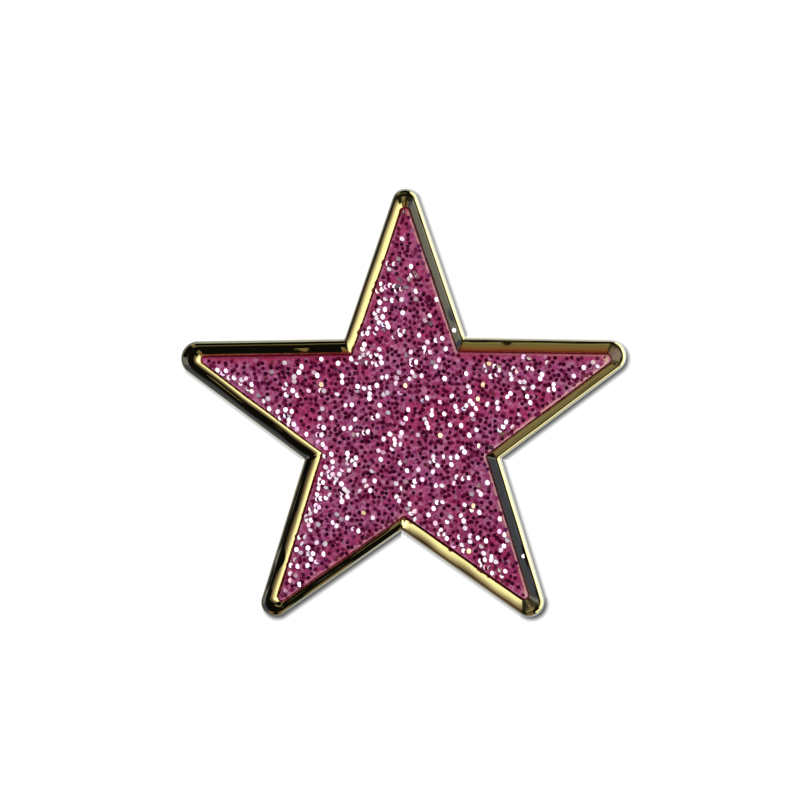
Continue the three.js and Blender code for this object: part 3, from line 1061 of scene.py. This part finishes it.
def panel(name, place, aim, width, height, brightness, tint=(1, 1, 1), shown_in_metal=True):
    """A rectangular studio lamp, as bright as brightness to look at. Sizes are in millimetres."""
    data = bpy.data.lights.new(name, "AREA")
    data.shape = "RECTANGLE"
    data.size = width * MM
    data.size_y = height * MM
    data.energy = brightness * math.pi * width * height * MM * MM
    data.color = tint
    lamp = placed(name, data)
    lamp.location = Vector(place) * MM
    lamp.rotation_euler = (Vector(aim) - Vector(place)).to_track_quat("-Z", "Y").to_euler()
    lamp.visible_camera = False
    lamp.visible_glossy = shown_in_metal


WINDOW_TURN = math.radians(18)  # the way to the bright middle of the window, from +X towards +Z
# How bright the window is, between two angles off the straight line to the camera.
WINDOW_STRIPS = (
    (18, 26, 0.07), (26, 34, 0.22), (34, 42, 0.42), (42, 50, 0.75), (50, 60, 1.05), (60, 72, 1.25),
    (72, 98, 1.5),
)

# The table's edge below the right side, the same way: what brightness and tint each strip has.
BELOW_STRIPS = (
    (35, 46, 0.17, (1, 0.86, 0.55)),
    (46, 58, 0.19, (1, 0.66, 0.38)),
    (58, 68, 0.20, (1, 0.50, 0.28)),
    (68, 78, 0.18, (1, 0.34, 0.22)),
    (78, 92, 0.13, (1, 0.16, 0.12)),
)


# Dim surfaces that the rims picture: place, aim, width, height, brightness and tint. One surface is
# in several panels, beside the star and towards the camera.
OLIVE, SLATE, KHAKI = (0.52, 0.60, 1), (0.31, 0.39, 1), (1, 0.93, 0.72)
LEFT = -120
SURROUNDINGS = {
    "left_upper": ((LEFT, -110, -12), (0, -110, -12), 260, 54, 0.28, OLIVE),
    "left_upper_near": ((-60, -200, -5), (-60, 0, -5), 40, 30, 0.28, OLIVE),
    "left_upper_side": ((-100, -200, -16), (-100, 0, -16), 40, 33, 0.28, OLIVE),
    "left_lower": ((LEFT, -110, -120), (0, -110, -120), 260, 162, 0.16, SLATE),
    "left_lower_near": ((-60, -200, -33), (-60, 0, -33), 40, 24, 0.16, SLATE),
    "left_lower_side": ((-100, -200, -44), (-100, 0, -44), 40, 23, 0.16, SLATE),
    "left_high": ((LEFT, -100, 245), (0, -100, 245), 240, 160, 0.2, KHAKI),
    "left_high_near": ((-22, -200, 82), (-22, 0, 82), 86, 56, 0.2, KHAKI),
    "left_high_side": ((-78, -200, 140), (-78, 0, 140), 36, 60, 0.2, KHAKI),
    "below_left": ((-62, -90, -120), (-62, -90, 0), 45, 170, 0.18, (1, 0.55, 0.34)),
    "below_right": ((150, -70, -120), (150, -70, 0), 128, 160, 1.0),
}


def strip_span(distance, start, end):
    """The middle and the width of a strip between two angles off the line to the camera."""
    near, far = (-distance / math.tan(math.radians(a)) for a in (start, end))
    return (near + far) / 2, far - near


def studio():
    """Dark surroundings, a tall window on the right, and dim panels that the rim picks up."""
    world = bpy.data.worlds.new("studio")
    bpy.context.scene.world = world
    world.use_nodes = True
    nodes, links = world.node_tree.nodes, world.node_tree.links
    nodes.clear()
    seen = nodes.new("ShaderNodeBackground")
    seen.inputs["Color"].default_value = (1, 1, 1, 1)
    around = nodes.new("ShaderNodeBackground")
    around.inputs["Color"].default_value = (0.004, 0.004, 0.004, 1)
    path = nodes.new("ShaderNodeLightPath")
    mix = nodes.new("ShaderNodeMixShader")
    out = nodes.new("ShaderNodeOutputWorld")
    links.new(path.outputs["Is Camera Ray"], mix.inputs[0])
    links.new(around.outputs[0], mix.inputs[1])
    links.new(seen.outputs[0], mix.inputs[2])
    links.new(mix.outputs[0], out.inputs["Surface"])
    right, below = 115, 120
    for start, end, brightness in WINDOW_STRIPS:
        middle, wide = strip_span(right, start, end)
        warm = max(0, 1 - brightness)
        tint = (0.94 + 0.06 * warm, 1.04 - 0.24 * warm, 1 - 0.2 * warm)
        panel(f"window_{start}", (right, middle, 85), (0, middle, 85), wide, 310, brightness, tint)
    panel("window_sun", (right + 5, -60, 37), (0, -60, 37), 160, 76, 0.8)
    for name, look in SURROUNDINGS.items():
        panel(name, *look)
    for start, end, brightness, tint in BELOW_STRIPS:
        middle, wide = strip_span(below, start, end)
        panel(f"below_{start}", (32, middle, -below), (32, middle, 0), 64, wide, brightness, tint)
    panel("below_near", (32, -260, -below), (32, -260, 0), 64, 160, 0.2, (1, 0.95, 0.6))
    panel("front_fill", (-40, -150, 90), (0, 0, 0), 150, 150, 3.7, shown_in_metal=False)
    bpy.context.scene.view_settings.view_transform = "Standard"


def floor(material):
    """The pale surface behind the clutch."""
    reach, y = 400, 17
    points = [(-reach, y, -reach), (reach, y, -reach), (reach, y, reach), (-reach, y, reach)]
    made = backdrop("pale_floor", points, [(0, 1, 2, 3)], material)


SHADE_SHIFT = np.array([0.165, -0.165])  # the way that the shade falls
SHADE_SOFT = 0.15
SHADE_REACH = 0.75


def shade_under_edge(material):
    """A painted soft contact shadow: a black sheet just behind the star's outline, dark where the star's
    shade would fall on what it lies against.
    """
    loops, shade = [], []
    for reach in np.linspace(-0.3, SHADE_REACH, 26):
        ring, way = star_ring(-reach, TIP_ROUND + reach, 0.02 + 0.1 * max(0, -reach))
        ring *= 1.004
        loops.append(in_space(ring, -0.04))
        ahead = way @ SHADE_SHIFT - reach
        fade = np.clip((SHADE_REACH - reach) / 0.2, 0, 1)
        shade.append(0.97 * (0.5 + 0.5 * np.tanh(ahead / SHADE_SOFT)) * fade)
    facing = [face[::-1] for face in loft(loops)]
    made = backdrop("edge_shade", np.concatenate(loops), facing, material)
    attribute(made, "shade", np.concatenate(shade))
    made.visible_glossy = False
    made.visible_shadow = False


# ---- Assembly ----

camera()
studio()
floor(pale_floor())
shade_under_edge(contact_shade())

gold = gold_plate()
tray = star_tray(gold)
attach(tray, "star")
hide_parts("star_base")

pool = resin(pink_resin())
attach(pool, "star")
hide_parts("enamel_fill")

film = glitter()
deep = glitter_layer("glitter_deep", 0.23, 11000, 0.004, deep_flake, deep_cover, film)
near = glitter_layer("glitter_near", 0.235, 14000, 0.022, near_flake, near_cover, film)
for layer in (deep, near, stray_flakes(film)):
    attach(layer, "star")

post_brass = satin_metal("turned brass", (0.90, 0.72, 0.36), (0.96, 0.80, 0.44), 0.10, 900, (1, 14, 1))
post = pin_post(post_brass)
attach(post, "star")
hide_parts("pin_post")

tin = satin_metal("solder", (0.70, 0.62, 0.44), (0.80, 0.74, 0.58), 0.25, 2500, (1, 1, 1), 0.01)
solder = solder_ring(tin)
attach(solder, "star")
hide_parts("post_solder")

stamped = satin_metal("stamped brass", (0.86, 0.68, 0.33), (0.93, 0.77, 0.42), 0.16, 3500, (1, 1, 1))
disc = clutch_disc(stamped)
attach(disc, "clutch_base")
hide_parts("clutch_disc")

cap = clutch_cap(stamped)
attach(cap, "clutch_top")
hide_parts("clutch_cap")

sprung = satin_metal("sprung brass", (0.88, 0.71, 0.38), (0.95, 0.80, 0.47), 0.14, 1500, (1, 1, 12))
for side, hand in ((-1, "left"), (1, "right")):
    wing = clutch_wing(f"wing_{hand}_sprung", side, sprung)
    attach(wing, f"wing_{hand}")
    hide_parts(f"clutch_wing_{hand}")
